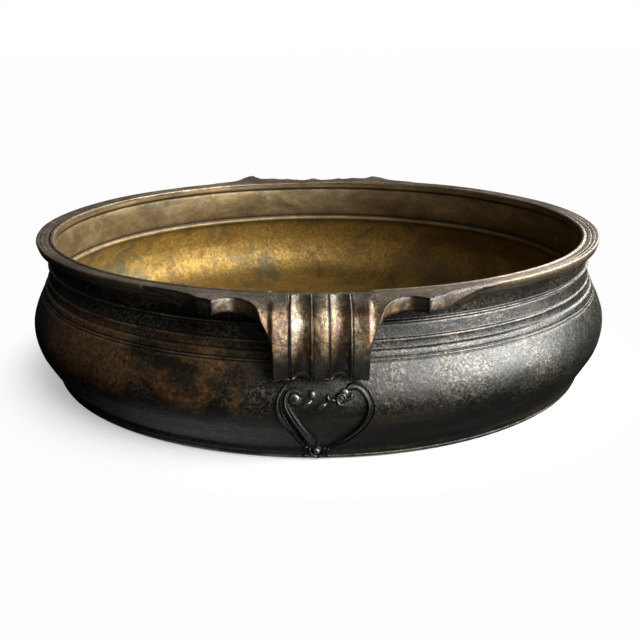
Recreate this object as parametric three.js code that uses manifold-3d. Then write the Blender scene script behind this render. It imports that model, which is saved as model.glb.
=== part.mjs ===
// Brass urli: a wide, shallow bell-metal bowl with two fluted strap handles and a
// heart of laid cords, scrolls and beads on the belly below each handle.
//
// Millimetres, +Z up. The origin is the centre of the flat underside. The front
// handle is on -Y and the rear handle on +Y.

import * as THREE from 'three';
import { mergeVertices } from 'three/addons/utils/BufferGeometryUtils.js';
import Module from 'manifold-3d';

const wasm = await Module();
wasm.setup();

// ---------------------------------------------------------------- dimensions

// The bowl
const RIM_RADIUS = 203; // outer edge of the rim
const RIM_TOP = 101; // height of the rim's outer edge
const RIM_FALL = 1.2; // how far the rim's face falls towards its inner edge
const LIP_RADIUS = 190.8; // inner edge of the rim
const BASE_RADIUS = 189; // flat underside
const FOOT_TOP = 8.8; // where the belly turns out of the foot band
const LEDGE_TOP = 69; // inner ledge at the foot of the neck
const FLOOR = 5.5; // thickness of the bottom
const BOWL_SIDES = 72;

// The handles
const STRAP_WIDTH = 53;
const STRAP_THICKNESS = 7;
const FLUTE_DEPTH = 2.2;
const FOOT_HEIGHT = 54.5; // where the strap lands on the belly
const STRAP_REACH = 225; // outermost radius of the strap
const BRACKET_THICKNESS = 8.5;
const TIP_LIFT = 2.8; // how far the bracket's cusps curl up above the rim
const STRAP_DROP = 9; // how far the bracket bends down at the strap's middle
const EDGE_FLARE = 5; // how far the strap's edges spread where they meet the bracket
const SEAT_DEPTH = 4.6; // how far the strap's tongue is let into the rim
const REAR_TURN = THREE.MathUtils.degToRad(0.9); // the rear handle sits a little askew

// The heart ornament
const ORNAMENT_RADIUS = 207; // radius on which its sideways measures are laid out
const CORD_RADIUS = 2.3;
const SCROLL_RADIUS = 2.2;
const CUP_RADIUS = 1.2;
const LEG_RADIUS = 1.4;

// Space left between pieces that touch
const GAP = 0.3;

// ------------------------------------------------------------------- helpers

const v2 = (x, y) => new THREE.Vector2(x, y);

function toSolid(geometry) {
  const bare = geometry.clone();
  bare.deleteAttribute('normal');
  bare.deleteAttribute('uv');
  const merged = mergeVertices(bare, 1e-4);
  const mesh = new wasm.Mesh({
    numProp: 3,
    vertProperties: new Float32Array(merged.attributes.position.array),
    triVerts: new Uint32Array(merged.index.array),
  });
  return new wasm.Manifold(mesh);
}

function toGeometry(solid) {
  const mesh = solid.getMesh();
  const geometry = new THREE.BufferGeometry();
  geometry.setAttribute('position', new THREE.BufferAttribute(new Float32Array(mesh.vertProperties), 3));
  geometry.setIndex(new THREE.BufferAttribute(new Uint32Array(mesh.triVerts), 1));
  return geometry;
}

function lathe(points) {
  const geometry = new THREE.LatheGeometry(points, BOWL_SIDES);
  geometry.rotateX(Math.PI / 2);
  return toSolid(geometry);
}

// ---------------------------------------------------------------- bowl outline

// Outside of the bowl from the centre of the underside to the outer edge of the rim.
function outerOutline() {
  const path = new THREE.Path();
  path.moveTo(0, 0);
  path.lineTo(BASE_RADIUS, 0);
  path.quadraticCurveTo(194, 0.4, 195, 3.2);
  path.lineTo(196.2, FOOT_TOP);
  path.splineThru([
    v2(203.9, 20), v2(208.3, 30), v2(209.4, 40), v2(207.3, 50), v2(202.8, 60), v2(199.6, 66.8),
  ]);
  path.lineTo(198.2, 68);
  path.lineTo(197.5, 71.6);
  path.lineTo(196.2, 73.2);
  path.lineTo(195.1, 80.6);
  path.lineTo(196.1, 81.8);
  path.lineTo(195.2, 83.6);
  path.quadraticCurveTo(195.6, 91, RIM_RADIUS - 1.8, RIM_TOP - 6);
  path.lineTo(RIM_RADIUS, RIM_TOP - 1.2);
  return path;
}

// Top of the rim and the inside of the bowl, down to the centre of the floor.
function innerOutline() {
  const path = new THREE.Path();
  path.moveTo(RIM_RADIUS, RIM_TOP - 1.2);
  path.lineTo(RIM_RADIUS - 1, RIM_TOP);
  path.lineTo(LIP_RADIUS + 1.6, RIM_TOP - RIM_FALL);
  path.lineTo(LIP_RADIUS, RIM_TOP - RIM_FALL - 1);
  path.lineTo(LIP_RADIUS, RIM_TOP - 6);
  path.lineTo(LIP_RADIUS + 1, RIM_TOP - 7);
  path.lineTo(LIP_RADIUS + 0.6, LEDGE_TOP + 15);
  path.lineTo(LIP_RADIUS + 3, LEDGE_TOP);
  path.lineTo(LIP_RADIUS + 2.4, LEDGE_TOP - 2.6);
  path.lineTo(LIP_RADIUS + 3, LEDGE_TOP - 5);
  path.lineTo(197, 61);
  path.splineThru([
    v2(203.2, 50), v2(205.2, 40), v2(204.1, 30), v2(199.8, 20.5), v2(192, 12.2), v2(180, 7.6),
  ]);
  path.lineTo(164, FLOOR + 0.4);
  path.lineTo(0, FLOOR);
  return path;
}

const OUTER = outerOutline().getPoints(2);
const INNER = innerOutline().getPoints(2);

// Radius of the bowl's outside at height z.
function outsideRadius(z) {
  const upper = OUTER.findIndex((point) => point.y >= z && point.x > BASE_RADIUS);
  const above = OUTER[upper];
  const below = OUTER[upper - 1];
  const share = (z - below.y) / (above.y - below.y);
  return below.x + share * (above.x - below.x);
}

// The bowl without its hollow, grown outwards by a clearance and cut off flat at
// the height top. It trims the pieces that lie on the bowl.
function bowlBlank(clearance, top) {
  const side = OUTER.filter((point) => point.x > BASE_RADIUS && point.y < top);
  const grown = side.map((point) => v2(point.x + clearance, point.y));
  const edge = clearance + (top < RIM_TOP ? outsideRadius(top) : RIM_RADIUS);
  return lathe([v2(0, -1), v2(BASE_RADIUS + clearance, -1), ...grown, v2(edge, top), v2(0, top)]);
}

// -------------------------------------------------------------------- handles

// Cross-section of the strap: a middle rib between two flutes, with a thin fillet
// on each side of the rib and a plain band along each edge. Its x runs across the
// strap, and its y from the outer face (negative) to the inner face.
function strapSection() {
  const half = STRAP_WIDTH / 2;
  const face = -STRAP_THICKNESS / 2;
  const right = [
    v2(0, face - 0.6),
    v2(3.4, face),
    v2(4.8, face),
    v2(8, face + FLUTE_DEPTH * 0.8),
    v2(10.8, face + FLUTE_DEPTH),
    v2(13.6, face + FLUTE_DEPTH * 0.8),
    v2(16.2, face),
    v2(21, face - 0.4),
    v2(half - 1.5, face + 0.4),
    v2(half, face + 2),
    v2(half, -face),
  ];
  const left = right.slice(1).reverse().map((point) => v2(-point.x, point.y));
  return new THREE.Shape([...right, ...left]);
}

// Middle line of the strap, from the rim's inner edge out over the rim, round the
// bend and down to the belly.
function strapLine() {
  const sink = STRAP_THICKNESS / 2;
  const inset = STRAP_REACH - sink;
  const line = [
    [LIP_RADIUS + 0.4, RIM_TOP - RIM_FALL - sink - 0.4],
    [RIM_RADIUS, RIM_TOP - RIM_FALL - sink + 0.2],
    [inset - 9, RIM_TOP - sink - 1.8],
    [inset - 2.2, RIM_TOP - 11],
    [inset, RIM_TOP - 20],
    [inset - 2, RIM_TOP - 30],
    [inset - 8, FOOT_HEIGHT + 7],
    [inset - 17, FOOT_HEIGHT + 1],
  ];
  return new THREE.CatmullRomCurve3(line.map(([radius, z]) => new THREE.Vector3(0, -radius, z)));
}

// The strap, with its two edges spread where it comes out of the bracket.
function strap() {
  const band = new THREE.ExtrudeGeometry(strapSection(), { extrudePath: strapLine(), steps: 22 });
  const position = band.attributes.position;
  for (let i = 0; i < position.count; i += 1) {
    const across = position.getX(i);
    const upper = THREE.MathUtils.smoothstep(position.getZ(i), 80, 95);
    const outer = THREE.MathUtils.smoothstep(-position.getY(i), RIM_RADIUS, RIM_RADIUS + 12);
    if (Math.abs(across) > STRAP_WIDTH / 2 - 3) {
      position.setX(i, across + Math.sign(across) * EDGE_FLARE * upper * outer);
    }
  }
  return toSolid(band);
}

// One half of the bracket's outline, from the strap to the far end of the wing, as
// bearing from the handle's middle in degrees and radius in rim radii: a scallop, a
// blunt cusp and a long taper into the rim.
const WING = [
  [7.2, 1.1], [8.4, 1.096], [9.4, 1.072], [11, 1.052], [12.8, 1.043], [14, 1.06],
  [14.7, 1.1], [17.8, 1.072], [19.8, 1.036], [22, 1.02], [25, 1.011], [28, 1.004],
];

// How far the bracket stands above the rim at a point in plan: its cusps curl up,
// and towards the strap it bends down with the strap.
function lift(x, y) {
  const bearing = THREE.MathUtils.radToDeg(Math.atan2(Math.abs(x), Math.abs(y)));
  const nearCusp = Math.max(0, 1 - Math.abs(bearing - 16) / 5);
  const nearStrap = Math.max(0, 1 - bearing / 12);
  const outward = Math.min(1, Math.max(0, Math.hypot(x, y) / RIM_RADIUS - 1) / 0.1);
  return outward * (TIP_LIFT * nearCusp - STRAP_DROP * nearStrap);
}

function bracket() {
  const bend = ([bearing, radius], side) => {
    const angle = THREE.MathUtils.degToRad(bearing) * side;
    return v2(Math.sin(angle), -Math.cos(angle)).multiplyScalar(radius * RIM_RADIUS);
  };
  const farEnd = WING[WING.length - 1][0];
  const inner = [28, 21, 14, 7, 0, -7, -14, -21, -28].map((share) => bend([share * farEnd / 28, 0.97], 1));
  const outline = [
    ...WING.map((place) => bend(place, 1)),
    ...inner,
    ...WING.slice().reverse().map((place) => bend(place, -1)),
  ];
  const plate = new THREE.ExtrudeGeometry(new THREE.Shape(outline), {
    depth: BRACKET_THICKNESS,
    bevelEnabled: false,
  });
  plate.translate(0, 0, RIM_TOP - BRACKET_THICKNESS);
  const position = plate.attributes.position;
  for (let i = 0; i < position.count; i += 1) {
    position.setZ(i, position.getZ(i) + lift(position.getX(i), position.getY(i)));
  }
  return toSolid(plate);
}

// The recess in the rim that takes the strap's tongue.
function tongueSeat() {
  const seat = new THREE.BoxGeometry(STRAP_WIDTH + 2 * GAP, 40, 20);
  seat.translate(0, -LIP_RADIUS - 10, RIM_TOP - SEAT_DEPTH - GAP + 10);
  return toSolid(seat);
}

// The middle of the bracket, where the strap passes through it.
function strapChannel() {
  const channel = new THREE.BoxGeometry(STRAP_WIDTH - 2.4, 80, 40);
  channel.translate(0, -RIM_RADIUS - 10, RIM_TOP);
  return toSolid(channel);
}

function handle() {
  const belowTongue = bowlBlank(GAP, RIM_TOP - SEAT_DEPTH);
  const wholeRim = bowlBlank(GAP, RIM_TOP + 10);
  const wings = bracket().subtract(wholeRim).subtract(strapChannel());
  return strap().subtract(belowTongue).add(wings);
}

// ------------------------------------------------------------ heart ornament

// A point on the belly: across is measured along the belly from the middle of the
// handle, and z is the height.
function onBelly([across, z]) {
  const angle = across / ORNAMENT_RADIUS;
  const radius = outsideRadius(z);
  return new THREE.Vector3(radius * Math.sin(angle), -radius * Math.cos(angle), z);
}

function cord(places, radius, steps) {
  const line = new THREE.CatmullRomCurve3(places.map(onBelly));
  const section = new THREE.Shape();
  section.absarc(0, 0, radius, 0, 2 * Math.PI);
  return toSolid(new THREE.ExtrudeGeometry(section, { extrudePath: line, steps, curveSegments: 4 }));
}

function bead(place, radius) {
  const ball = new THREE.SphereGeometry(radius, 12, 8);
  ball.rotateX(Math.PI / 2);
  const centre = onBelly(place);
  ball.translate(centre.x, centre.y, centre.z);
  return toSolid(ball);
}

// Each piece of the heart as a function of how much it is grown all round.
const HEART = {
  heart_left_limb: (grow) => cord([
    [-21.3, 49.6], [-25, 43.8], [-25.3, 38.2], [-23.3, 33], [-19.7, 27.3], [-14.8, 19.3],
    [-11.6, 13.6], [-9.5, 9.9],
  ], CORD_RADIUS + grow, 24),
  heart_right_limb: (grow) => cord([
    [15.4, 49.4], [19.6, 49.8], [23.6, 48.4], [26.9, 43.8], [27.6, 38], [26.2, 32.6], [22.6, 25.6],
    [16.8, 18.8], [11.5, 14], [5.6, 9.9],
  ], CORD_RADIUS + grow, 30),
  heart_cup: (grow) => cord([
    [-7.1, 8], [-6.6, 5.2], [-4.8, 3.4], [-2.6, 2.7], [-0.3, 3.4], [1.1, 5.6], [1.6, 9],
  ], CUP_RADIUS + grow, 16),
  heart_left_scroll: (grow) => cord([
    [-12.6, 43.2], [-12.2, 46.6], [-15.4, 49], [-18.6, 46.6], [-19.3, 41],
    [-17.6, 36], [-14.2, 30.3], [-10.6, 23.8], [-7.2, 17.4], [-3.9, 12.6],
  ], SCROLL_RADIUS + grow, 26),
  heart_right_scroll: (grow) => cord([
    [3.4, 46.2], [5.6, 43.5], [10.6, 41.9], [15.6, 43.4], [18, 46.4],
  ], SCROLL_RADIUS + grow, 14),
  heart_top_bead: (grow) => bead([-4.7, 46.6], 2.3 + grow),
  heart_left_bead: (grow) => bead([-7.9, 40.6], 2 + grow),
  heart_right_bead: (grow) => bead([0.2, 40.6], 2 + grow),
  heart_tip_bead: (grow) => bead([-2.9, 7], 2.6 + grow),
  heart_left_leg: (grow) => cord([[-9.6, 8.4], [-9.7, 5], [-9.7, 1.6]], LEG_RADIUS + grow, 4),
  heart_right_leg: (grow) => cord([[4.1, 8.6], [4, 5], [4, 1.6]], LEG_RADIUS + grow, 4),
};

// The heart's pieces, each cut back from the belly and from the pieces before it.
function heart() {
  const belly = bowlBlank(GAP, FOOT_HEIGHT);
  const laid = [];
  return Object.entries(HEART).map(([name, make]) => {
    const trimmed = laid.reduce((piece, other) => piece.subtract(other), make(0).subtract(belly));
    laid.push(make(GAP));
    return [name, trimmed];
  });
}

// ------------------------------------------------------------------- assembly

const bronze = (color, roughness) => new THREE.MeshStandardMaterial({ color, roughness, metalness: 1 });
const BOWL_BRONZE = bronze(0x5a4a30, 0.45);
const HANDLE_BRONZE = bronze(0x6b5334, 0.4);
const ORNAMENT_BRONZE = bronze(0x3c3830, 0.35);

function addPiece(group, name, solid, material) {
  const mesh = new THREE.Mesh(toGeometry(solid), material);
  mesh.name = name;
  group.add(mesh);
}

function addHandleSide(urli, side, turn) {
  const group = new THREE.Group();
  group.rotation.z = turn;
  addPiece(group, `${side}_handle`, handle(), HANDLE_BRONZE);
  for (const [name, solid] of heart()) {
    addPiece(group, `${side}_${name}`, solid, ORNAMENT_BRONZE);
  }
  urli.add(group);
}

function bowl() {
  const turned = lathe([...OUTER, ...INNER.slice(1)]);
  const rearSeat = tongueSeat().rotate([0, 0, 180 + THREE.MathUtils.radToDeg(REAR_TURN)]);
  return turned.subtract(tongueSeat()).subtract(rearSeat);
}

const urli = new THREE.Group();
addPiece(urli, 'bowl', bowl(), BOWL_BRONZE);
addHandleSide(urli, 'front', 0);
addHandleSide(urli, 'rear', Math.PI + REAR_TURN);

export default urli;
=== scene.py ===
# Brass urli bowl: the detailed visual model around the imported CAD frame.
#
# Shapes are worked out in millimetres and turned into metres when a mesh is made.
# Materials and the studio are in metres throughout. +Z is up, the front handle is on
# -Y and the rear handle on +Y.

import math

import bpy
import numpy as np
from mathutils import Matrix, Vector, noise


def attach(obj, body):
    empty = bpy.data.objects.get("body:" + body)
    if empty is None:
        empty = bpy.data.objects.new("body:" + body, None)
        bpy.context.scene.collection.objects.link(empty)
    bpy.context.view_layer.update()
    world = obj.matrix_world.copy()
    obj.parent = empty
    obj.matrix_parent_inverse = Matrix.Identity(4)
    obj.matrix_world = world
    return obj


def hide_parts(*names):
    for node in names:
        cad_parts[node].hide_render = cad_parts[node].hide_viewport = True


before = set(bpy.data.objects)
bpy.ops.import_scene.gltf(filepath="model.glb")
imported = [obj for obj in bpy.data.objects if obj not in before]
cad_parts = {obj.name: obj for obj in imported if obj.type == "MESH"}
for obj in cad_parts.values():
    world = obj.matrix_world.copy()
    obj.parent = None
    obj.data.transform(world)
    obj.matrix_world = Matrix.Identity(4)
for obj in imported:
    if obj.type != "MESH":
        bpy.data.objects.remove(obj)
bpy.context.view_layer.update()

MM = 0.001
RIM_R = 203.0  # outer edge of the rim
RIM_TOP = 101.0
LIP_R = 190.8  # inner edge of the rim
SEAT_Z = 95.6  # floor of the seats that take the straps' tongues
SEAT_SIDE = 26.6  # their half width
REAR_SEAT_FROM = 201.05  # the rear one is only in the rim's outer edge
REAR_TURN = math.pi + math.radians(0.9)  # the rear handle isn't quite opposite

# ------------------------------------------------------------------ curve helpers


def spline(points, per_span):
    """Catmull-Rom curve through the points, with per_span steps between each two."""
    p = np.array(points, float)
    p = np.vstack([2 * p[0] - p[1], p, 2 * p[-1] - p[-2]])
    t = np.linspace(0, 1, per_span, endpoint=False)[:, None]
    spans = []
    for a, b, c, d in zip(p[:-3], p[1:-2], p[2:-1], p[3:]):
        spans.append(0.5 * (2 * b + (c - a) * t + (2 * a - 5 * b + 4 * c - d) * t ** 2
                            + (3 * b - a - 3 * c + d) * t ** 3))
    return np.vstack(spans + [p[-2:-1]])


def resample(points, count):
    """The same line with count points at equal distances along it."""
    p = np.asarray(points, float)
    run = np.concatenate([[0], np.cumsum(np.linalg.norm(np.diff(p, axis=0), axis=1))])
    at = np.linspace(0, run[-1], count)
    return np.stack([np.interp(at, run, p[:, i]) for i in range(p.shape[1])], axis=1)


def smoothstep(x, low, high):
    """Smooth rise from 0 at low to 1 at high."""
    t = np.clip((x - low) / (high - low), 0, 1)
    return t * t * (3 - 2 * t)


def fractal(points, size, octaves, seed):
    """Smooth noise of about -1 to 1 at each point; size is its largest wave in mm."""
    shift = Vector((seed * 17.3, seed * 5.1, seed * 9.7))
    out = np.empty(len(points))
    for i, p in enumerate(points):
        out[i] = noise.fractal(Vector(p) / size + shift, 1.0, 2.0, octaves)
    return out


def turned(points, angle):
    """The points turned about the bowl's axis."""
    c, s = math.cos(angle), math.sin(angle)
    return np.asarray(points) @ np.array([[c, s, 0], [-s, c, 0], [0, 0, 1]])


# ------------------------------------------------------------------- mesh helpers


def grid_faces(rows, columns, wrap):
    """Quads of a grid of rows x columns points, closed across the columns if wrap."""
    last = columns if wrap else columns - 1
    r = np.arange(rows - 1)[:, None]
    c = np.arange(last)[None, :]
    n = (c + 1) % columns
    low, high = r * columns, (r + 1) * columns
    return np.stack([low + c, low + n, high + n, high + c], -1).reshape(-1, 4)


def make_piece(name, points, faces, materials, node, indices=None):
    """A smooth-shaded piece that stands for a CAD node and rides with it."""
    mesh = bpy.data.meshes.new(name)
    mesh.from_pydata((np.asarray(points) * MM).tolist(), [], [list(map(int, f)) for f in faces])
    mesh.validate()
    for material in materials:
        mesh.materials.append(material)
    if indices is not None:
        mesh.polygons.foreach_set("material_index", np.asarray(indices, np.int32))
    mesh.polygons.foreach_set("use_smooth", np.ones(len(mesh.polygons), bool))
    mesh.update()
    piece = bpy.data.objects.new(name, mesh)
    bpy.context.scene.collection.objects.link(piece)
    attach(piece, "root")
    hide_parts(node)


# --------------------------------------------------------------------- materials


class Nodes:
    """Short calls for building the nodes of a material or a world, in metres."""

    def __init__(self, owner):
        owner.use_nodes = True
        self.owner = owner
        self.tree = owner.node_tree
        self.coordinates = self.add("ShaderNodeTexCoord").outputs
        self.place = self.coordinates["Object"]

    def add(self, kind, inputs=(), **settings):
        node = self.tree.nodes.new(kind)
        for key, value in settings.items():
            setattr(node, key, value)
        for key, value in dict(inputs).items():
            self.put(node.inputs[key], value)
        return node

    def put(self, socket, value):
        if isinstance(value, bpy.types.NodeSocket):
            self.tree.links.new(value, socket)
        elif value is not None:
            socket.default_value = value

    def stretched(self, along_z):
        """The object's place with heights multiplied, for clouds that aren't round."""
        inputs = {"Vector": self.place, "Scale": (1, 1, along_z)}
        return self.add("ShaderNodeMapping", inputs).outputs[0]

    def cloud(self, scale, detail, rough, distort=0.0, place=None):
        inputs = {"Vector": place or self.place, "Scale": scale, "Detail": detail,
                  "Roughness": rough, "Distortion": distort}
        return self.add("ShaderNodeTexNoise", inputs).outputs["Fac"]

    def cells(self, scale):
        inputs = {"Vector": self.place, "Scale": scale}
        return self.add("ShaderNodeTexVoronoi", inputs).outputs["Distance"]

    def curve(self, value, low, high, start=0.0, end=1.0):
        """Smooth change from start, where the value is low, to end, where it is high."""
        inputs = {"Value": value, "From Min": low, "From Max": high, "To Min": start, "To Max": end}
        node = self.add("ShaderNodeMapRange", inputs, interpolation_type="SMOOTHSTEP")
        return node.outputs["Result"]

    def math(self, kind, *values):
        node = self.add("ShaderNodeMath", operation=kind)
        for socket, value in zip(node.inputs, values):
            self.put(socket, value)
        return node.outputs[0]

    def times(self, a, b):
        return self.math("MULTIPLY", a, b)

    def vector(self, kind, *values):
        node = self.add("ShaderNodeVectorMath", operation=kind)
        for socket, value in zip(node.inputs, values):
            self.put(socket, value)
        return node.outputs

    def ramp(self, value, stops):
        """Colours along a value; a stop's colour may be one number, for a grey."""
        node = self.add("ShaderNodeValToRGB", {"Fac": value})
        elements = node.color_ramp.elements
        while len(elements) < len(stops):
            elements.new(0.5)
        for element, (at, colour) in zip(elements, stops):
            element.position = at
            element.color = (*(colour if isinstance(colour, tuple) else (colour,) * 3), 1)
        return node.outputs["Color"]

    def mix(self, factor, a, b):
        """Colour a where the factor is 0, and b where it is 1."""
        node = self.add("ShaderNodeMix", data_type="RGBA")
        self.put(node.inputs[0], factor)
        for socket, value in ((node.inputs[6], a), (node.inputs[7], b)):
            self.put(socket, (*value, 1) if isinstance(value, tuple) else value)
        return node.outputs[2]

    def mix_shaders(self, factor, a, b, output):
        """Show shader a where the factor is 0, and b where it is 1."""
        node = self.add("ShaderNodeMixShader", {0: factor, 1: a, 2: b})
        self.put(self.tree.nodes[output].inputs["Surface"], node.outputs[0])

    def axis(self, name):
        return self.add("ShaderNodeSeparateXYZ", {"Vector": self.place}).outputs[name]

    def radius(self):
        """Distance from the bowl's turning axis."""
        return self.vector("LENGTH", self.vector("MULTIPLY", self.place, (1, 1, 0))[0])["Value"]

    def edges(self, spread=0.030):
        """How far the surface is hollow, and how far it is a crest, both 0 to 1. The fan of
        long faces in the middle of the bowl counts as neither."""
        bend = self.add("ShaderNodeNewGeometry").outputs["Pointiness"]
        clear = self.curve(self.radius(), 0.030, 0.040)
        return (self.times(self.curve(bend, 0.5 - spread, 0.497, 1.0, 0.0), clear),
                self.times(self.curve(bend, 0.503, 0.5 + spread), clear))

    def bump(self, height, strength, distance, below=None):
        inputs = {"Height": height, "Strength": strength, "Distance": distance, "Normal": below}
        return self.add("ShaderNodeBump", inputs).outputs["Normal"]

    def metal(self, colour, metallic, rough, normal, ior=1.5):
        shader = self.tree.nodes["Principled BSDF"]
        values = {"Base Color": colour, "Metallic": metallic, "Roughness": rough,
                  "Normal": normal, "IOR": ior}
        for key, value in values.items():
            self.put(shader.inputs[key], value)
        return self.owner


def new_metal(name, fine, coarse):
    """Nodes of a new material, the bump of an old casting, and how clear of pits it is. The
    bump has fine grain, small round pits and slow hand-made waves."""
    n = Nodes(bpy.data.materials.new(name))
    pits = n.curve(n.cells(950), 0.10, 0.38)
    pitted_places = n.curve(n.cloud(90, 4, 0.7), 0.50, 0.62)
    clear = n.math("MULTIPLY_ADD", n.math("SUBTRACT", pits, 1.0), pitted_places, 1.0)
    waves = n.bump(n.cloud(60, 3, 0.5), coarse, 0.0016)
    pocked = n.bump(clear, fine, 0.0003, waves)
    return n, n.bump(n.cloud(620, 5, 0.75), fine, 0.00055, pocked), clear


def darken_pits(n, colour, clear, share, dirt):
    """Dirt in the pits, as strong as share."""
    return n.mix(n.curve(clear, 0.2, 0.9, share, 0.0), colour, dirt)


def worn_metal(n):
    """Handled bronze of the rim and of the handles' tops: brown grey with darker grime."""
    worn = n.ramp(n.cloud(24, 6, 0.68, 0.3), [
        (0.30, (0.075, 0.056, 0.036)), (0.48, (0.17, 0.135, 0.092)),
        (0.60, (0.27, 0.215, 0.155)), (0.76, (0.36, 0.30, 0.235))])
    grime = n.curve(n.cloud(300, 5, 0.75), 0.40, 0.62, 0.65, 0.0)
    return n.mix(grime, worn, (0.065, 0.048, 0.028))


def exterior_bronze():
    """Black-brown skin: redder on the left of the belly, dusty on its upper half."""
    n, normal, clear = new_metal("urli_exterior_patina", 0.55, 0.5)
    hollow, crest = n.edges()
    height = n.axis("Z")
    dark = n.ramp(n.cloud(9, 6, 0.66, 0.2, n.stretched(6)), [
        (0.30, (0.006, 0.008, 0.007)), (0.52, (0.014, 0.014, 0.011)),
        (0.74, (0.040, 0.034, 0.025))])
    brown = n.ramp(n.cloud(330, 6, 0.78), [
        (0.35, (0.040, 0.018, 0.008)), (0.50, (0.16, 0.078, 0.030)),
        (0.66, (0.34, 0.20, 0.085))])
    left_side = n.curve(n.axis("X"), -0.026, -0.060)
    belly = n.times(n.curve(height, 0.026, 0.040), n.curve(height, 0.078, 0.064))
    blotches = n.curve(n.cloud(13, 6, 0.66, 0.6), 0.40, 0.54, 0.05, 0.95)
    colour = n.mix(n.times(blotches, n.times(left_side, belly)), dark, brown)
    uneven = n.curve(n.cloud(20, 5, 0.7), 0.40, 0.60, 0.1, 0.9)
    dusty = n.times(n.curve(height, 0.022, 0.045), uneven)
    dust = n.curve(n.cloud(620, 4, 0.75), 0.48, 0.62)
    colour = n.mix(n.times(dust, dusty), colour, (0.17, 0.135, 0.090))
    under_rim = n.curve(height, 0.088, 0.1005)
    colour = n.mix(n.times(under_rim, 0.6), colour, (0.12, 0.092, 0.06))
    rubbed = n.curve(n.cloud(45, 5, 0.7), 0.40, 0.60, 0.05, 0.55)
    colour = n.mix(n.times(crest, rubbed), colour, (0.26, 0.21, 0.15))
    colour = n.mix(n.times(hollow, 0.9), colour, (0.004, 0.004, 0.004))
    colour = darken_pits(n, colour, clear, 0.8, (0.006, 0.006, 0.005))
    rough = n.curve(n.cloud(520, 5, 0.8), 0.35, 0.65, 0.19, 0.42)
    return n.metal(colour, 0.3, rough, normal, 1.65)


def interior_bronze():
    """Golden floor and wall with olive stains, and a browner band above the ledge."""
    n, normal, clear = new_metal("urli_interior_patina", 0.55, 0.6)
    hollow, crest = n.edges()
    speckle = n.cloud(380, 6, 0.78)
    gold = n.ramp(n.cloud(8, 8, 0.66, 0.7), [
        (0.30, (0.085, 0.052, 0.018)), (0.42, (0.24, 0.150, 0.040)),
        (0.54, (0.42, 0.275, 0.070)), (0.64, (0.30, 0.205, 0.065)),
        (0.76, (0.17, 0.125, 0.06))])
    colour = n.mix(n.curve(speckle, 0.38, 0.64, 0.55, 0.0), gold, (0.060, 0.040, 0.016))
    olive = n.curve(n.cloud(15, 7, 0.72, 1.0), 0.52, 0.60, 0.0, 0.75)
    colour = n.mix(olive, colour, (0.125, 0.105, 0.062))
    rusty = n.curve(n.cloud(26, 6, 0.7, 0.6), 0.60, 0.68, 0.0, 0.6)
    colour = n.mix(rusty, colour, (0.16, 0.062, 0.018))
    streak = n.ramp(n.cloud(26, 7, 0.72, 0.5, n.stretched(2)), [
        (0.32, (0.050, 0.035, 0.019)), (0.50, (0.130, 0.094, 0.050)),
        (0.66, (0.22, 0.165, 0.092))])
    above_ledge = n.curve(n.axis("Z"), 0.056, 0.068)
    colour = n.mix(n.times(above_ledge, 0.88), colour, streak)
    green = n.curve(n.cloud(30, 5, 0.7), 0.58, 0.68, 0.0, 0.5)
    colour = n.mix(green, colour, (0.075, 0.090, 0.055))
    colour = n.mix(n.times(crest, 0.22), colour, (0.36, 0.29, 0.16))
    colour = n.mix(n.times(hollow, 0.85), colour, (0.012, 0.009, 0.005))
    colour = darken_pits(n, colour, clear, 0.7, (0.02, 0.014, 0.007))
    return n.metal(colour, 0.5, n.curve(speckle, 0.3, 0.7, 0.60, 0.42), normal)


def rim_bronze():
    """Worn metal, dark in its turned lines."""
    n, normal, clear = new_metal("urli_rim_worn_bronze", 0.6, 0.25)
    hollow, crest = n.edges()
    colour = n.mix(n.times(crest, 0.18), worn_metal(n), (0.36, 0.30, 0.22))
    colour = n.mix(n.times(hollow, 0.85), colour, (0.018, 0.013, 0.008))
    colour = darken_pits(n, colour, clear, 0.7, (0.03, 0.022, 0.014))
    rough = n.curve(n.cloud(330, 5, 0.7), 0.3, 0.7, 0.50, 0.34)
    return n.metal(colour, 0.6, rough, normal)


def handle_bronze():
    """Brown bronze rubbed pale on its ribs: greyer on the wings, with painted shade near black
    at the foot, and like the rim on top."""
    n, normal, clear = new_metal("urli_handle_worn_bronze", 0.8, 0.3)
    hollow, crest = n.edges()
    body = n.ramp(n.cloud(60, 7, 0.72, 0.3, n.stretched(0.5)), [
        (0.32, (0.030, 0.015, 0.007)), (0.43, (0.16, 0.082, 0.032)),
        (0.53, (0.38, 0.26, 0.13)), (0.68, (0.66, 0.58, 0.44))])
    wings = n.curve(n.math("ABSOLUTE", n.axis("X")), 0.040, 0.058)
    body = n.mix(n.times(wings, 0.8), body, (0.070, 0.056, 0.042))
    height = n.axis("Z")
    # Painted shade: the lower strap, which faces down towards the floor, is coloured near black.
    foot = n.curve(height, 0.067, 0.081, 1.0, 0.0)
    body = n.mix(n.times(foot, 0.88), body, (0.020, 0.018, 0.014))
    grime = n.curve(n.cloud(340, 5, 0.78), 0.40, 0.60, 0.7, 0.0)
    colour = n.mix(grime, body, (0.035, 0.022, 0.012))
    top = n.curve(height, 0.0970, 0.0995)
    over_rim = n.curve(n.radius(), 0.205, 0.199)
    like_rim = n.math("MAXIMUM", n.times(top, 0.95), over_rim)
    colour = n.mix(like_rim, colour, worn_metal(n))
    outside = n.math("SUBTRACT", 1.0, over_rim)
    colour = n.mix(n.times(crest, n.times(outside, 0.45)), colour, (0.48, 0.40, 0.29))
    colour = n.mix(n.times(hollow, n.times(outside, 0.9)), colour, (0.010, 0.007, 0.005))
    colour = darken_pits(n, colour, clear, 0.8, (0.02, 0.012, 0.007))
    rough = n.curve(n.cloud(420, 5, 0.78), 0.3, 0.7, 0.42, 0.20)
    return n.metal(colour, 0.55, rough, normal, 2.1)


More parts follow.
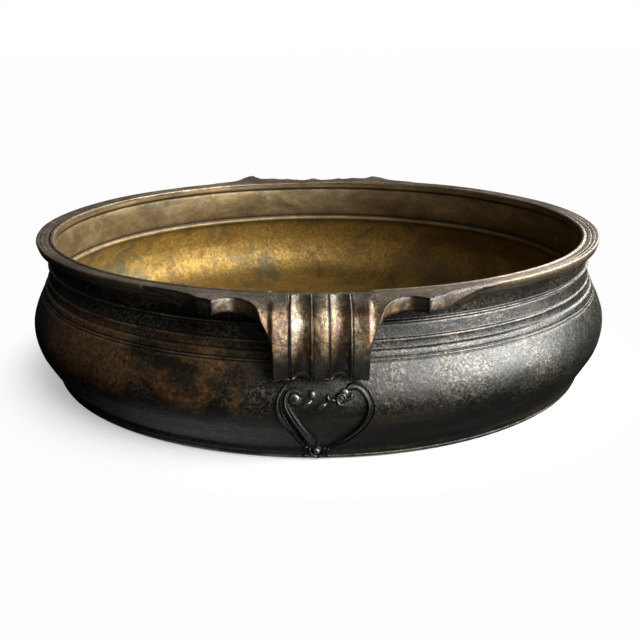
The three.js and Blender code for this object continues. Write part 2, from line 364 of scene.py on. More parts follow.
def ornament_bronze():
    """Glossy black-green threads, with a painted highlight along their ridges."""
    n, normal, _ = new_metal("urli_ornament_black_bronze", 0.4, 0.3)
    hollow, crest = n.edges(0.045)
    colour = n.ramp(n.cloud(90, 5, 0.7), [
        (0.34, (0.006, 0.009, 0.008)), (0.55, (0.016, 0.019, 0.015)),
        (0.74, (0.06, 0.054, 0.04))])
    # Painted highlight: a pale grey along the threads' ridges, where light would catch them.
    colour = n.mix(n.times(crest, 0.5), colour, (0.30, 0.28, 0.23))
    colour = n.mix(n.times(hollow, 0.9), colour, (0.003, 0.003, 0.003))
    rough = n.curve(n.cloud(420, 4, 0.7), 0.3, 0.7, 0.14, 0.34)
    return n.metal(colour, 0.45, rough, normal, 2.0)


EXTERIOR = exterior_bronze()
INTERIOR = interior_bronze()
RIM = rim_bronze()
HANDLE = handle_bronze()
ORNAMENT = ornament_bronze()

# ----------------------------------------------------------------- the turned bowl

# Half section of the bowl as radius and height, all the way round: the underside and the
# outside up to the rim, the rim's top, and the inside down to the middle of the floor.
FOOT = [(0, 0.9), (60, 0.8), (120, 0.6), (165, 0.3), (182, 0), (190.2, 0), (192.6, 0.3),
        (194.3, 1.1), (195.0, 2.3), (195.2, 3.0), (194.75, 3.35), (195.2, 3.8), (195.6, 6),
        (195.9, 8.0), (196.2, 8.9)]
BELLY = [(196.2, 8.9), (197.2, 10.2), (200.6, 14.6), (203.8, 20), (206.6, 25.2), (208.3, 30.4),
         (209.15, 35.4), (209.3, 40.2), (208.7, 45.2), (207.2, 50.2), (205.2, 55),
         (202.9, 59.6), (202.3, 60.9)]
NECK = [(202.1, 61.2), (201.45, 61.7), (201.6, 62.3), (201.2, 62.9), (200.6, 63.35),
        (200.75, 64.0), (200.5, 65.0), (199.9, 66.4), (199.3, 67.1), (198.2, 67.7),
        (197.75, 69.0), (197.5, 70.8), (197.55, 71.9), (197.3, 72.7), (196.4, 73.3),
        (196.1, 74.6), (195.6, 77.6), (195.15, 80.2), (194.7, 80.7), (194.9, 81.15),
        (196.0, 81.5), (196.5, 82.0), (196.2, 82.6), (195.1, 83.1), (194.8, 83.7),
        (195.0, 84.6), (195.3, 87.5), (195.9, 90.6), (197.2, 93.0), (199.2, 94.5),
        (200.8, 95.0), (201.5, 95.4), (201.9, 96.1), (202.4, 97.6), (202.9, 99.4)]
# Top of the rim with its two fine grooves and the bead along its inner edge.
RIM_FACE = [(202.9, 99.4), (202.9, 100.2), (202.6, 100.75), (202.0, 101.0), (201.4, 101.0),
            (201.15, 100.75), (200.9, 100.95), (200.6, 100.9), (200.3, 100.5), (200.0, 100.85),
            (198.0, 100.6), (197.7, 100.2), (197.4, 100.5), (194.8, 100.15), (194.4, 99.85),
            (194.0, 100.05), (193.3, 100.5), (192.5, 100.65), (191.7, 100.4), (191.1, 99.8),
            (190.9, 99.0)]
LIP = [(190.9, 99.0), (190.85, 96.4), (191.1, 95.5), (192.0, 94.6), (192.1, 93.6),
       (191.6, 91.5), (191.4, 86), (191.7, 81), (192.4, 75.5), (193.3, 71.2), (194.2, 69.4),
       (194.7, 68.3), (194.0, 67.4), (193.2, 66.6), (192.9, 65.6), (193.2, 64.6), (194.2, 63.7),
       (195.9, 62.6), (197.4, 61)]
WELL = [(197.4, 61), (200.8, 55.6), (203.4, 50), (205.0, 44), (205.2, 39.4), (204.9, 34.4),
        (203.8, 29.4), (201.6, 23.8), (198.0, 18.2), (192.4, 12.8), (184.6, 8.9), (176, 7.1),
        (164, 6.1), (146, 5.8), (120, 5.7), (90, 5.6), (60, 5.6), (30, 5.5), (6, 5.5), (0, 5.5)]


def bowl_profile():
    """The section in three parts: the outside, the rim's face and the inside."""
    belly = resample(spline(BELLY, 8), 46)[:-1]
    neck = resample(spline(NECK, 4), 104)[:-1]
    outside = np.vstack([FOOT[:-1], belly, neck])
    face = resample(spline(RIM_FACE, 3), 44)[:-1]
    inside = np.vstack([resample(spline(LIP, 4), 52)[:-1], spline(WELL, 2)])
    return outside, face, inside


OUTSIDE, FACE, INSIDE = bowl_profile()


def outside_radius(z):
    """Radius of the bowl's outside at a height above the foot's rounded edge."""
    side = OUTSIDE[OUTSIDE[:, 0] > 194]
    return np.interp(z, side[:, 1], side[:, 0])


def build_bowl(segments=396):
    """The section turned about the axis, with the unevenness of an old casting."""
    profile = np.vstack([OUTSIDE, FACE, INSIDE])
    rows = len(profile)
    angle = np.linspace(0, 2 * math.pi, segments, endpoint=False)
    r = np.repeat(profile[:, :1], segments, 1)
    z = np.repeat(profile[:, 1:], segments, 1)
    a = np.repeat(angle[None, :], rows, 0)
    # Slow waves left by the hand-turned core: never outwards of the true outline.
    wave = (0.35 * np.sin(2 * a + 0.6) + 0.25 * np.sin(3 * a + 2.1 + z * 0.03)
            + 0.15 * np.sin(7 * a + z * 0.08))
    r = r + (wave - 0.75) * 0.55 * (r > 100)
    sag = 0.10 * np.sin(5 * a + 1.0) + 0.08 * np.sin(11 * a)
    z = z + (sag - 0.18) * (z > 90)
    points = np.stack([r * np.sin(a), -r * np.cos(a), z], -1).reshape(-1, 3)
    rough = fractal(points, 26, 4, 1).reshape(rows, segments)
    fine = fractal(points, 5, 3, 2).reshape(rows, segments)
    bite = np.minimum(0, 0.16 * rough + 0.07 * fine - 0.06)
    keep = (profile[:, 1] > 1.5)[:, None]
    inside = (np.arange(rows) >= len(OUTSIDE) + len(FACE))[:, None]
    r = r + np.where(inside, -bite, bite) * keep
    # The seats that take the straps' tongues.
    over_rim = (np.arange(rows) >= len(OUTSIDE) - 6) & (profile[:, 1] > SEAT_Z)
    for turn, seat_from in ((0.0, 0.0), (REAR_TURN, REAR_SEAT_FROM)):
        across = r * np.sin(a - turn)
        facing = (np.cos(a - turn) > 0) & (r > seat_from)
        seat = over_rim[:, None] & facing & (np.abs(across) < SEAT_SIDE)
        z = np.where(seat, np.minimum(z, SEAT_Z + 0.2 * (z - SEAT_Z)), z)
    points = np.stack([r * np.sin(a), -r * np.cos(a), z], -1).reshape(-1, 3)
    points[:segments, :2] = 0
    points[-segments:, :2] = 0
    faces = grid_faces(rows, segments, True)
    row = np.repeat(np.arange(rows - 1), segments)
    first_face, first_inside = len(OUTSIDE) - 3, len(OUTSIDE) + len(FACE)
    zone = np.where(row < first_face, 0, np.where(row < first_inside, 1, 2))
    # The middles of the underside and the floor are fans that meet in one point.
    under, floor = len(points), len(points) + 1
    points = np.vstack([points, [0, 0, profile[0, 1]], [0, 0, profile[-1, 1]]])
    body = faces[(row > 0) & (row < rows - 2)]
    body_zone = zone[(row > 0) & (row < rows - 2)]
    c = np.arange(segments)
    n = (c + 1) % segments
    start, end = segments, (rows - 2) * segments
    fans = [[under, start + j, start + i] for i, j in zip(c, n)]
    fans += [[floor, end + i, end + j] for i, j in zip(c, n)]
    all_faces = body.tolist() + fans
    zones = np.concatenate([body_zone, np.zeros(segments, int), np.full(segments, 2)])
    used = np.unique(np.concatenate([body.ravel(), [under, floor], c + start, c + end]))
    index = np.full(len(points), -1)
    index[used] = np.arange(len(used))
    all_faces = [[index[v] for v in face] for face in all_faces]
    make_piece("bowl_turned", points[used], all_faces, [EXTERIOR, RIM, INTERIOR], "bowl",
               zones)


# ---------------------------------------------------------------------- the handles

# Middle line of the strap, as radius and height, from the rim's inner edge down to
# the belly.
STRAP_LINE = [(190.6, 95.95), (197, 96.3), (203, 96.5), (212.3, 95.7), (218.3, 90.2),
              (220.4, 81), (218.7, 71), (215.1, 65.2), (211.0, 60.6), (209.0, 57.6),
              (209.9, 54.6)]
STRAP_THICK = 7.0
BRACKET_THICK = 8.6
STRAP_SIDE = 26.4  # half width of the strap at its foot
SOFT_EDGE = 1.1  # rounding of the handle's edges

STRAP_PATH = resample(spline(STRAP_LINE, 24), 600)
STRAP_STEPS = np.linalg.norm(np.diff(STRAP_PATH, axis=0), axis=1)
STRAP_RUN = STRAP_LINE[0][0] + np.concatenate([[0], np.cumsum(STRAP_STEPS)])
STRAP_END = STRAP_RUN[-1]
STRAP_ALONG = np.gradient(STRAP_PATH, axis=0)
STRAP_ALONG /= np.linalg.norm(STRAP_ALONG, axis=1)[:, None]
STRAP_OUT = np.stack([-STRAP_ALONG[:, 1], STRAP_ALONG[:, 0]], 1)


def foot_scallop(x):
    """How far the foot's edge draws back from its lowest point: an arch under each flute."""
    u = np.abs(np.abs(x) - 10.4) / 6.2
    arch = 4.0 * np.clip(1 - u * u, 0, 1)
    return arch + 0.9 * smoothstep(np.abs(x), 17, 24)


def strap_relief(x, v, flutes_from):
    """Height of the strap's face over its middle surface: rib, fillets, flutes and edge bands.
    The flutes begin flutes_from mm from the bowl's axis, measured over the rim."""
    s = np.abs(x)
    rib = np.where(s < 4.1, -0.25 + 1.15 * np.sqrt(np.clip(1 - (s / 4.2) ** 2, 0, 1)), 0)
    groove = -0.75 * np.exp(-((s - 4.35) / 0.32) ** 2)
    fillet = 0.35 * np.exp(-((s - 5.05) / 0.42) ** 2)
    u = np.clip((s - 10.55) / 5.05, -1, 1)
    start = flutes_from + 4.2 * (1 - np.sqrt(np.clip(1 - u * u, 0, 1)))
    depth = 2.8 * np.sqrt(np.clip((v - start) / 6.5, 0, 1))
    flute = -depth * np.clip(1 - u * u, 0, 1) ** 0.75
    outer = 0.3 * np.exp(-((s - 15.9) / 0.4) ** 2)
    crease = -0.85 * np.exp(-((s - 16.75) / 0.38) ** 2)
    band = 2.0 * smoothstep(s, 15.0, 27.0) - 0.55
    lines = rib + groove + fillet + outer + crease
    lines = lines * smoothstep(v, flutes_from - 0.6, flutes_from + 2.5)
    band = np.where(s > 16.6, band, 0) * smoothstep(v, 205, 216)
    lip = 0.5 * np.exp(-((v - (STRAP_END - foot_scallop(x) - 1.2)) / 1.3) ** 2)
    calm = 1 - 0.4 * smoothstep(v, STRAP_END - 8, STRAP_END - 2)
    return ((lines + flute) * calm + band + lip) * (1 - smoothstep(s, 25.2, 28.5))


def rim_level(radius):
    """Height of the handles' upper face on the rim, which falls inwards."""
    return RIM_TOP + 0.03 - 1.15 * np.clip((202 - radius) / 9.6, 0, 1)


def handle_surface(x, v, depth, tips, flutes_from):
    """Point of the handle over the flat pattern place (x, v), depth mm below its upper face.
    The wings stay flat, with cusps that rise by tips; the strap is bent along its line."""
    s = np.abs(x)
    radius = np.hypot(x, v)
    bearing = np.degrees(np.arctan2(s, v))
    out = np.clip((radius - RIM_R) / 20.0, 0, 1)
    cusp = np.clip(1 - np.abs(bearing - 16) / 5.5, 0, 1)
    flat_z = rim_level(radius) + np.where(x < 0, tips[0], tips[1]) * cusp * out
    # The wings' inner edges and far ends run into the rim.
    tucked = smoothstep(s, 29, 31.5) * (1 - smoothstep(radius, 201.2, 202.4))
    flat_z = flat_z - 1.1 * tucked - 0.5 * smoothstep(bearing, 25.5, 29.0)
    middle_r = np.interp(v, STRAP_RUN, STRAP_PATH[:, 0])
    middle_z = np.interp(v, STRAP_RUN, STRAP_PATH[:, 1])
    out_r = np.interp(v, STRAP_RUN, STRAP_OUT[:, 0])
    out_z = np.interp(v, STRAP_RUN, STRAP_OUT[:, 1])
    length = np.hypot(out_r, out_z)
    relief = strap_relief(x, v, flutes_from) * (depth < 0.5 * STRAP_THICK)
    rise = STRAP_THICK / 2 - depth + relief
    bent_r = middle_r + out_r / length * rise
    bent_z = middle_z + out_z / length * rise
    near = 1 - smoothstep(s, 21.5, 28)
    far = 1 - smoothstep(s, 26.8, 43)
    bend = near + (far - near) * smoothstep(v, 203, 211)
    y = -(v + bend * (bent_r - v))
    z = flat_z - depth + bend * (bent_z - flat_z + depth)
    return np.stack([x + 0 * y, y, z], -1)


def handle_outline(tongue_end):
    """Right half of the flat pattern's edge from the foot's middle to the wing's end, with
    the place on the inner edge that each of its points is joined to."""
    def wing(bearing, radius):
        b = math.radians(bearing)
        return RIM_R * radius * math.sin(b), RIM_R * radius * math.cos(b)

    foot_x = np.linspace(0, 24.0, 104)
    foot = np.stack([foot_x, STRAP_END - foot_scallop(foot_x)], 1)
    end = foot[-1, 1]
    corner_end = (STRAP_SIDE, end - 3.4)
    corner = spline([foot[-1], (25.6, end - 0.5), (26.3, end - 1.7), corner_end], 3)[1:]
    side = spline([corner_end, (26.2, 250), (26.1, 241), (26.3, 235), (27.0, 230.4),
                   (28.9, 226.2), (31.2, 222.9), (32.6, 220.4)], 7)[1:]
    scallop = spline([(32.6, 220.4), (33.3, 218.6), (35.0, 215.3), wing(10.6, 1.0565),
                      wing(12.0, 1.0445), wing(13.2, 1.044), wing(14.1, 1.062),
                      wing(14.85, 1.101)], 6)[1:]
    cusp = spline([wing(14.85, 1.101), wing(16.4, 1.087), wing(17.85, 1.072)], 5)[1:]
    taper = spline([wing(17.85, 1.072), wing(18.8, 1.053), wing(20.2, 1.034), wing(22, 1.021),
                    wing(25, 1.012), wing(28, 1.0055), wing(30, 0.999)], 5)[1:]
    edge = np.vstack([foot, corner, side, scallop, cusp, taper])
    count = len(edge)
    k_side = len(foot) + len(corner) + len(side)
    inner = np.empty_like(edge)
    inner[:len(foot)] = np.stack([foot_x, np.full(len(foot), tongue_end)], 1)
    spread = np.linspace(24.0, 30.0, k_side - len(foot) + 1)[1:]
    inner[len(foot):k_side] = np.stack([spread, np.full(len(spread), tongue_end)], 1)
    climb = 10
    up = np.linspace(0, 1, climb + 1)[1:, None]
    top = np.array([30.6, math.sqrt(200.9 ** 2 - 30.6 ** 2)])
    inner[k_side:k_side + climb] = np.array([30.0, tongue_end]) * (1 - up) + top * up
    rest = count - k_side - climb
    first = math.atan2(top[0], top[1])
    sweep = np.linspace(0, 1, rest + 1)[1:] ** 1.15
    b = first + (math.radians(30) - first) * sweep
    inner[k_side + climb:] = 200.9 * np.stack([np.sin(b), np.cos(b)], 1)
    return edge, inner


def build_handle(side, turn, tips, tongue_end, flutes_from, seed):
    """One thick sheet: rows run from the inner edge over the top, round the outline and
    back underneath, and columns from the left wing's end to the right one's. The tongue
    ends tongue_end mm from the bowl's axis."""
    edge, inner = handle_outline(tongue_end)
    edge = np.vstack([edge[:0:-1] * [-1, 1], edge])
    inner = np.vstack([inner[:0:-1] * [-1, 1], inner])
    columns = len(edge)
    tangent = np.gradient(edge, axis=0)
    tangent /= np.linalg.norm(tangent, axis=1)[:, None]
    outward = np.stack([-tangent[:, 1], tangent[:, 0]], 1)
    thick = STRAP_THICK + (BRACKET_THICK - STRAP_THICK) * smoothstep(np.abs(edge[:, 0]), 27, 40)
    bearing = np.degrees(np.arctan2(np.abs(edge[:, 0]), edge[:, 1]))
    thick = thick - (BRACKET_THICK - 2.4) * smoothstep(bearing, 18.5, 28.0)
    rows = []

    def row(place, depth):
        rows.append(handle_surface(place[:, 0], place[:, 1], depth, tips, flutes_from))

    inset = edge - outward * SOFT_EDGE
    zero = np.zeros(columns)
    for q in np.linspace(0, 1, 92):
        row(inner + (inset - inner) * q, zero)
    for turn_in in np.linspace(0, math.pi / 2, 5)[1:]:
        row(edge - outward * SOFT_EDGE * (1 - math.sin(turn_in)),
            zero + SOFT_EDGE * (1 - math.cos(turn_in)))
    for share in (0.25, 0.5, 0.75):
        row(edge, SOFT_EDGE + (thick - 2 * SOFT_EDGE) * share)
    for turn_in in np.linspace(0, math.pi / 2, 4):
        row(edge - outward * SOFT_EDGE * (1 - math.cos(turn_in)),
            thick - SOFT_EDGE * (1 - math.sin(turn_in)))
    for q in np.linspace(1, 0, 34)[1:]:
        row(inner + (inset - inner) * q, thick)
    points = np.stack(rows)
    count = len(rows)
    flat = points.reshape(-1, 3)
    worn = 0.22 * fractal(flat, 16, 3, seed) + 0.10 * fractal(flat, 4, 3, seed + 1)
    push = np.minimum(0, worn - 0.1).reshape(count, columns)
    push = push * (np.hypot(points[..., 0], points[..., 1]) > RIM_R)
    centre = np.array([0, -205.0, 84.0])
    away = points - centre
    away /= np.linalg.norm(away, axis=-1)[..., None]
    points = points + away * push[..., None]
    flat = turned(points.reshape(-1, 3), turn)
    faces = grid_faces(count, columns, False).tolist()
    last = (count - 1) * columns
    closing = [[last + i, last + i + 1, i + 1, i] for i in range(columns - 1)]
    left = [j * columns for j in range(count)][::-1]
    right = [j * columns + columns - 1 for j in range(count)]
    make_piece(f"{side}_handle_strap", flat, faces + closing + [left, right], [HANDLE],
               f"{side}_handle")


# -------------------------------------------------------------- the heart ornament

ORNAMENT_R = 207.0  # radius that distances across the ornament are measured at
SUNK = 0.25  # how far a thread's edges lie below the belly


def on_belly(place):
    """Point and outward direction of the belly at (across, z)."""
    across, z = place
    angle = across / ORNAMENT_R
    radius = outside_radius(z)
    slope = outside_radius(z + 0.5) - outside_radius(z - 0.5)
    radial = np.array([math.sin(angle), -math.cos(angle), 0])
    out = radial - np.array([0, 0, slope])
    out /= np.linalg.norm(out)
    return radial * radius + np.array([0, 0, z]), out


def thread(places, half, height, crown, around=22):
    """A laid cord: places (across, z) on the belly, half width and height along it, and the
    form of its back as a function of -1 to 1 across."""
    line = np.asarray(places)
    count = len(line)
    spots = [on_belly(p) for p in line]
    centre = np.array([s[0] for s in spots])
    out = np.array([s[1] for s in spots])
    along = np.gradient(centre, axis=0)
    along /= np.linalg.norm(along, axis=1)[:, None]
    aside = np.cross(along, out)
    u = np.cos(np.linspace(0, math.pi, around))
    top = crown(u)
    rings = []
    for i in range(count):
        lift = np.outer(top * height[i] - SUNK, out[i])
        back = centre[i] + np.outer(u * half[i], aside[i]) + lift
        under = centre[i] + np.outer(u[::-1][1:-1] * half[i], aside[i]) - 1.1 * out[i]
        rings.append(np.vstack([back, under]))
    points = np.vstack(rings)
    size = len(rings[0])
    faces = grid_faces(count, size, True).tolist()
    faces += [list(range(size))[::-1], [(count - 1) * size + i for i in range(size)]]
    return points, faces


def swelling(count, run, half, height, start_round, end_round):
    """Half width and height along a thread, with rounded ends of the given lengths."""
    at = np.linspace(0, run, count)
    ends = np.ones(count)
    for distance, length in ((at, start_round), (run - at, end_round)):
        if length:
            near = 1 - np.clip(distance / length, 0, 1)
            ends = np.minimum(ends, np.sqrt(np.clip(1 - near ** 2, 0.02, 1)))
    width = np.interp(at / run, np.linspace(0, 1, len(half)), half)
    tall = np.interp(at / run, np.linspace(0, 1, len(height)), height)
    return width * ends, tall * ends


def round_back(u):
    """A plain round cord."""
    return np.sqrt(np.clip(1 - u * u, 0, 1))


def double_back(u):
    """Two ridges with a valley between them."""
    ridges = np.exp(-((np.abs(u) - 0.66) / 0.20) ** 2)
    return np.sqrt(np.clip(1 - u * u, 0, 1)) * 0.28 + 0.80 * ridges * np.clip(1 - u ** 8, 0, 1)


def edged_back(u):
    """A round bar with a fine raised line along one edge."""
    line = 0.34 * np.exp(-((u - 0.62) / 0.15) ** 2) + 0.24 * np.exp(-((u + 0.66) / 0.15) ** 2)
    return np.sqrt(np.clip(1 - u * u, 0, 1)) * 0.82 + line


# Each thread: its line as (across, height), half widths and heights along it, the form of
# its back, and the lengths of its rounded start and end.
HEART_LINES = {
    "left_limb": (
        [(-18.8, 50.2), (-21.8, 46.2), (-23.2, 41.0), (-22.5, 35.8), (-20.0, 30.2),
         (-16.5, 23.8), (-13.4, 17.8), (-11.0, 13.4), (-9.3, 9.6)],
        [1.7, 2.2, 2.3, 2.1, 1.8], [1.8, 2.4, 2.4, 2.3, 1.9], double_back, 2.0, 2.0),
    "right_limb": (
        [(14.0, 48.6), (17.4, 50.2), (21.4, 49.6), (25.0, 46.4), (27.2, 41.4), (27.3, 36.4),
         (25.4, 30.8), (21.8, 24.8), (17.0, 19.2), (11.6, 14.2), (7.0, 10.8), (4.8, 8.6),
         (4.1, 6.2)],
        [1.9, 2.5, 2.5, 2.4, 2.2, 1.9, 1.6], [1.8, 2.6, 2.6, 2.5, 2.3, 2.1, 1.7],
        double_back, 2.4, 0.8),
    "cup": (
        [(-7.3, 8.4), (-7.0, 6.0), (-5.8, 4.0), (-4.2, 2.9), (-2.6, 2.5), (-0.9, 2.9),
         (0.7, 4.2), (1.7, 6.2), (2.1, 8.8)],
        [0.9, 1.1, 1.1, 1.0], [1.2, 1.6, 1.6, 1.3], round_back, 1.0, 1.0),
    "left_scroll": (
        [(-10.8, 44.6), (-11.6, 47.4), (-14.6, 48.6), (-17.6, 47.2), (-19.0, 43.6),
         (-18.4, 39.4), (-16.0, 34.2), (-12.6, 28.0), (-9.0, 21.6), (-5.8, 15.8),
         (-3.6, 12.0)],
        [0.9, 1.2, 1.5, 1.7, 1.9, 2.2, 2.3], [1.5, 1.8, 2.1, 2.3, 2.5, 2.5],
        edged_back, 1.2, 2.6),
    "left_leg": (
        [(-9.5, 9.6), (-9.8, 6.6), (-9.9, 4.0), (-9.9, 1.9)],
        [1.5, 1.4, 1.6], [1.3, 1.2, 1.1], round_back, 0.8, 0.5),
    "right_leg": (
        [(4.2, 8.4), (4.0, 5.8), (3.9, 3.8), (3.9, 1.9)],
        [1.4, 1.4, 1.6], [1.7, 1.3, 1.1], round_back, 0.8, 0.5),
}
# Each bead: its place, half width, half length, height and lean in radians.
HEART_BEADS = {
    "top_bead": ((-4.8, 46.3), 1.8, 2.2, 2.4, 0.0),
    "left_bead": ((-7.8, 40.8), 1.2, 2.7, 1.5, 0.95),
    "right_bead": ((0.4, 39.8), 1.2, 2.6, 1.5, 1.05),
    "tip_bead": ((-2.75, 6.9), 2.0, 2.1, 2.7, 0.0),
}


def bead(place, wide, tall, height, lean):
    """A drop of wax pressed on the belly: an oval cap with a soft skirt, leaning in its
    plane."""
    base, out = on_belly(place)
    up = np.array([0, 0, 1.0]) - out[2] * out
    up /= np.linalg.norm(up)
    right = np.cross(up, out)
    axis_up = up * math.cos(lean) + right * math.sin(lean)
    axis_right = np.cross(axis_up, out)
    section = [(1.28, -0.9), (1.28, -0.12), (1.10, 0.10), (1.0, 0.30), (0.96, 0.52),
               (0.86, 0.72), (0.66, 0.89), (0.40, 0.98), (0.16, 1.0)]
    around = 28
    ring = np.linspace(0, 2 * math.pi, around, endpoint=False)
    points = []
    for share, level in section:
        offset = (np.outer(np.cos(ring) * wide * share, axis_right)
                  + np.outer(np.sin(ring) * tall * share, axis_up))
        points.append(base + offset + out * (height * level if level > 0 else level))
    points = np.vstack(points)
    faces = grid_faces(len(section), around, True).tolist()
    last = (len(section) - 1) * around
    return points, faces + [list(range(around))[::-1], [last + i for i in range(around)]]


def merged(parts):
    """Several (points, faces) as one."""
    points, faces, start = [], [], 0
    for part_points, part_faces in parts:
        points.append(part_points)
        faces += [[v + start for v in face] for face in part_faces]
        start += len(part_points)
    return np.vstack(points), faces


def lobed_curl():
    """The right scroll: a rolled boss with a smaller lobe on each side."""
    turns = np.linspace(0, 1, 84)
    ring = -0.35 * math.pi - turns * 2.5 * math.pi
    reach = 3.1 - 1.9 * turns
    loop = np.stack([11.2 + reach * np.cos(ring), 43.9 + 1.08 * reach * np.sin(ring)], 1)
    width, tall = swelling(len(loop), 30, [1.35, 1.3, 1.1, 0.8], [2.9, 2.8, 2.5, 2.2],
                           1.2, 0.8)
    parts = [thread(loop, width, tall, round_back, 16)]
    parts.append(bead((12.9, 47.2), 2.1, 2.0, 1.7, 0.0))
    parts.append(bead((11.2, 43.9), 2.6, 2.8, 1.5, 0.0))
    lobes = (
        ([(8.4, 42.6), (6.6, 43.2), (4.8, 43.2), (3.6, 44.4), (3.9, 46.2)],
         [1.2, 1.5, 1.3, 0.8], [2.0, 2.4, 2.0, 1.4], 1.0),
        ([(12.8, 43.2), (14.8, 43.6), (16.4, 44.8), (16.6, 47.0)],
         [1.0, 1.2, 1.1, 0.7], [1.8, 2.0, 1.8, 1.2], 1.2))
    for places, half, height, end_round in lobes:
        width, tall = swelling(26, 7, half, height, 0, end_round)
        parts.append(thread(resample(spline(places, 8), 26), width, tall, round_back, 14))
    return merged(parts)


def heart_pieces():
    """Points and faces of each piece of one heart, by name."""
    pieces = {}
    for name, (points, half, height, crown, start, end) in HEART_LINES.items():
        line = spline(points, 10)
        run = np.linalg.norm(np.diff(line, axis=0), axis=1).sum()
        count = max(24, int(run / 0.55))
        width, tall = swelling(count, run, half, height, start, end)
        pieces[name] = thread(resample(line, count), width, tall, crown)
    bud = bead((-14.5, 43.9), 2.9, 3.0, 1.9, 0.0)
    pieces["left_scroll"] = merged([pieces["left_scroll"], bud])
    pieces["right_scroll"] = lobed_curl()
    for name, (place, wide, tall, height, lean) in HEART_BEADS.items():
        pieces[name] = bead(place, wide, tall, height, lean)
    return pieces


def build_heart(side, turn, seed):
    """One heart, its wax worked a little unevenly, with nothing below the underside."""
    for offset, (name, (points, faces)) in enumerate(heart_pieces().items()):
        noise_in = 0.08 * fractal(points, 6, 2, seed + offset)
        out = points * [1, 1, 0]
        out /= np.linalg.norm(out, axis=1)[:, None]
        points = points + out * np.minimum(0.02, noise_in - 0.05)[:, None]
        points[:, 2] = np.maximum(points[:, 2], 0.6)
        make_piece(f"{side}_heart_{name}_cast", turned(points, turn), faces, [ORNAMENT],
                   f"{side}_heart_{name}")


build_bowl()
build_handle("front", 0.0, tips=(2.2, 2.2), tongue_end=LIP_R - 0.1, flutes_from=194.0, seed=11)
build_handle("rear", REAR_TURN, tips=(0.7, 2.3), tongue_end=198.6, flutes_from=205.5, seed=21)
build_heart("front", 0.0, seed=31)
build_heart("rear", REAR_TURN, seed=61)

# ------------------------------------------------------------- floor, light, camera

SHADE_FROM, SHADE_TO = 0.175, 0.250  # where the floor's shading starts and stops fading out
FLOOR_R = 9.0


def build_floor():
    """A pale paper floor that takes a soft shadow and runs out into plain white."""
    n = Nodes(bpy.data.materials.new("studio_paper"))
    n.tree.nodes.remove(n.tree.nodes["Principled BSDF"])
    paper = n.add("ShaderNodeBsdfDiffuse", {"Color": (0.85, 0.85, 0.85, 1)})
    white = n.add("ShaderNodeEmission", {"Color": (0.985, 0.985, 0.985, 1)})
    distance = n.vector("LENGTH", n.place)["Value"]
    far = n.curve(distance, SHADE_FROM, SHADE_TO, 0.36, 1.0)
    n.mix_shaders(far, paper.outputs[0], white.outputs[0], "Material Output")
    mesh = bpy.data.meshes.new("studio_floor")
    corners = np.linspace(0, 2 * math.pi, 64, endpoint=False)
    ring = [(FLOOR_R * math.cos(a), FLOOR_R * math.sin(a), 0) for a in corners]
    mesh.from_pydata(ring, [], [list(range(len(ring)))])
    mesh.materials.append(n.owner)
    floor = bpy.data.objects.new("studio_floor", mesh)
    floor.visible_glossy = False
    floor.visible_diffuse = False
    bpy.context.scene.collection.objects.link(floor)


def studio_world():
    """Dim light from all round, brighter above, behind and to the right, with a plain white
    backdrop for the camera. In the ramps 0 is left, front or straight down, and 1 is
    right, back or straight up."""
    world = bpy.data.worlds.new("studio")
    bpy.context.scene.world = world
    n = Nodes(world)
    direction = n.coordinates["Generated"]
    half = n.add("ShaderNodeMapping", {"Vector": direction, "Scale": (0.5, 0.5, 0.5),
                                       "Location": (0.5, 0.5, 0.5)})
    x, y, z = n.add("ShaderNodeSeparateXYZ", {0: half.outputs[0]}).outputs
    height = n.ramp(z, [(0.0, 0.02), (0.44, 0.02), (0.53, 0.20), (0.62, 0.60), (0.72, 0.60),
                        (1.0, 0.36)])
    sideways = n.ramp(x, [(0.0, 0.10), (0.4, 0.40), (1.0, 1.0)])
    depth = n.ramp(y, [(0.0, 0.35), (0.5, 0.55), (1.0, 1.0)])
    # Light thrown up by the floor, mostly on the left.
    below = n.times(n.ramp(z, [(0.0, 0.8), (0.07, 0.7), (0.14, 0.0)]),
                    n.ramp(x, [(0.0, 1.0), (0.44, 1.0), (0.50, 0.2)]))
    rest = n.math("ADD", n.times(n.times(height, sideways), depth), below)
    # A long low window from the front round to the right, which upright surfaces catch.
    window_way = Vector((0.80, -0.60, 0.0)).normalized()
    towards = n.vector("DOT_PRODUCT", direction, window_way)["Value"]
    across = n.ramp(towards, [(0.0, 0.0), (0.66, 0.0), (0.80, 1.0), (1.0, 1.0)])
    upright = n.ramp(z, [(0.0, 0.0), (0.37, 0.0), (0.44, 1.0), (0.74, 1.0), (0.84, 0.0)])
    total = n.math("MULTIPLY_ADD", n.times(across, upright), 3.8, rest)
    light = n.tree.nodes["Background"]
    n.put(light.inputs["Strength"], total)
    n.put(light.inputs["Color"], (0.96, 0.98, 1.0, 1))
    backdrop = n.add("ShaderNodeBackground", {"Color": (1, 1, 1, 1)})
    seen = n.add("ShaderNodeLightPath").outputs["Is Camera Ray"]
    n.mix_shaders(seen, light.outputs[0], backdrop.outputs[0], "World Output")


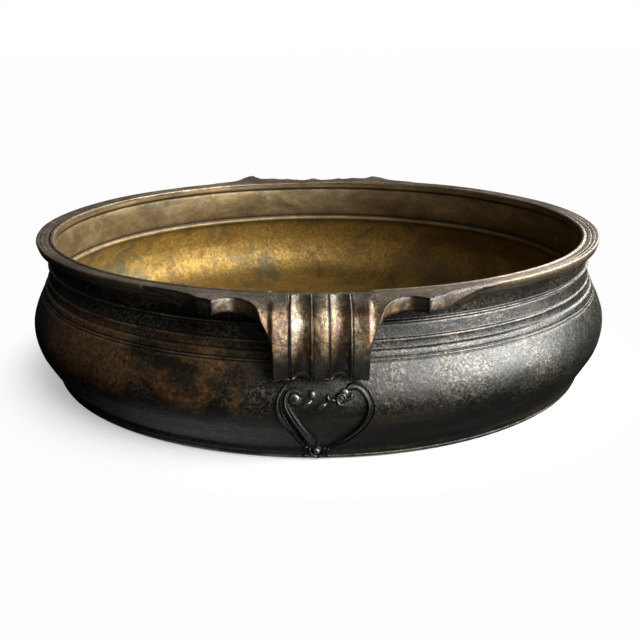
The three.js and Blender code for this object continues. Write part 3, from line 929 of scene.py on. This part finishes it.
# Each softbox: its name, place, the point it faces, its width and height, and its watts.
SOFTBOXES = [
    ("key_right", (1.35, -0.45, 0.62), (0, -0.05, 0.07), (1.1, 0.7), 46),
    ("front_right", (0.55, -1.10, 1.00), (0, 0.12, 0.06), (0.8, 0.6), 15),
    ("back_right", (1.0, 0.85, 0.80), (0, 0, 0.05), (0.9, 0.6), 24),
]


def softbox(name, place, target, size, watts):
    """A rectangular lamp at a place, turned to face a point."""
    light = bpy.data.lights.new(name, "AREA")
    light.shape = "RECTANGLE"
    light.size, light.size_y = size
    light.energy = watts
    lamp = bpy.data.objects.new(name, light)
    lamp.location = place
    lamp.rotation_euler = (Vector(target) - Vector(place)).to_track_quat("-Z", "Y").to_euler()
    bpy.context.scene.collection.objects.link(lamp)


CAMERA_PLACE = (0, -0.68, 0.2377)
CAMERA_LENS = 51.92
CAMERA_HEADING, CAMERA_PITCH, CAMERA_ROLL = (math.radians(a) for a in (0.106, -17.48, -0.32))
CAMERA_ORBIT = -0.006  # radians that the camera stands round from the front
DISPLAY_GAMMA = 0.84  # for the photo's contrast


def build_camera():
    """The photo's own camera, as fitted to the rim, the base and the handle."""
    level = math.cos(CAMERA_PITCH)
    forward = Vector((level * math.sin(CAMERA_HEADING), level * math.cos(CAMERA_HEADING),
                      math.sin(CAMERA_PITCH)))
    right = forward.cross(Vector((0, 0, 1))).normalized()
    up = right.cross(forward)
    right = right * math.cos(CAMERA_ROLL) + up * math.sin(CAMERA_ROLL)
    up = right.cross(forward)
    basis = Matrix((right, up, -forward)).transposed().to_4x4()
    camera = bpy.data.cameras.new("camera")
    camera.sensor_width = 36
    camera.lens = CAMERA_LENS
    camera.clip_start = 0.02
    view = bpy.data.objects.new("camera", camera)
    orbit = Matrix.Rotation(CAMERA_ORBIT, 4, "Z")
    view.matrix_world = orbit @ Matrix.Translation(CAMERA_PLACE) @ basis
    bpy.context.scene.collection.objects.link(view)
    bpy.context.scene.camera = view


build_floor()
studio_world()
for box in SOFTBOXES:
    softbox(*box)
build_camera()
bpy.context.scene.view_settings.view_transform = "Standard"
bpy.context.scene.view_settings.gamma = DISPLAY_GAMMA
